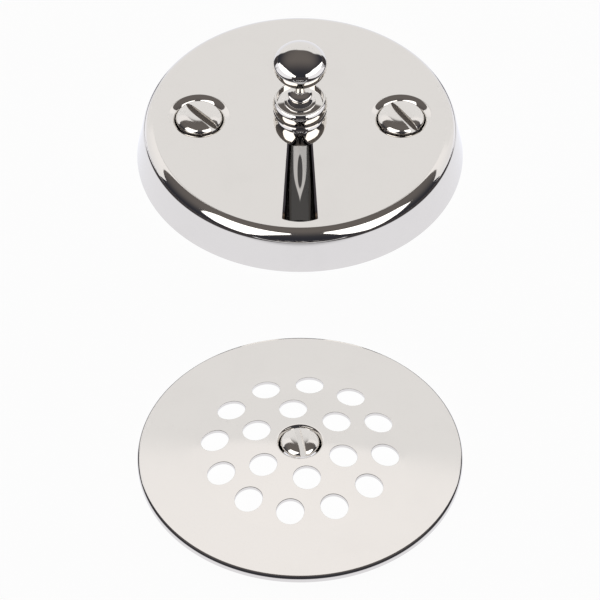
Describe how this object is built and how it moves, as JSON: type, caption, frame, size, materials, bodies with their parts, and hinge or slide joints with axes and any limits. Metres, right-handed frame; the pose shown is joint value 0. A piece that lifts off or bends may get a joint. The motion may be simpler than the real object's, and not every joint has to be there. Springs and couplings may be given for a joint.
{
  "type": "trip lever bath drain",
  "caption": "Overflow face plate with a pivoting ball-knob trip lever and its bracket behind, and a matching perforated bath strainer beside it.",
  "frame": {"origin": "centre of the face plate's seat, on the plane of the bath wall", "axes": "+X to the right, +Y up the bath wall from the strainer to the face plate, +Z out of the wall towards the user"},
  "size_m": [0.0794, 0.1783, 0.0707],
  "materials": {
    "polished_nickel": "polished nickel plate",
    "nickel_screw": "polished nickel plate on turned brass",
    "bracket_steel": "plated sheet steel",
    "pin_steel": "bright steel",
    "clip_steel": "dark spring steel",
    "brass": "plain turned brass",
    "bronze": "phosphor bronze"
  },
  "bodies": {
    "plate": {"face_plate": "polished_nickel", "face_screw_left": "nickel_screw", "face_screw_right": "nickel_screw", "pivot_bracket": "bracket_steel", "bracket_washer_left": "clip_steel", "bracket_washer_right": "clip_steel", "bracket_nut_left": "brass", "bracket_nut_right": "brass", "pivot_pin": "pin_steel", "pivot_clip": "clip_steel", "friction_washer_left": "bronze", "friction_washer_right": "bronze", "friction_spring": "bronze", "spring_rivet": "brass", "strainer_plate": "polished_nickel", "strainer_screw": "nickel_screw"},
    "lever": {"lever_arm": "polished_nickel", "knob_stud": "brass", "knob_collar": "polished_nickel", "knob": "polished_nickel", "linkage_cotter": "brass"}
  },
  "joints": [
    {"name": "lever_pivot", "type": "hinge", "parent": "plate", "child": "lever", "pos_m": [0, -0.0281, 0.00415], "axis": [1, 0, 0], "range_deg": [0, 35]}
  ]
}
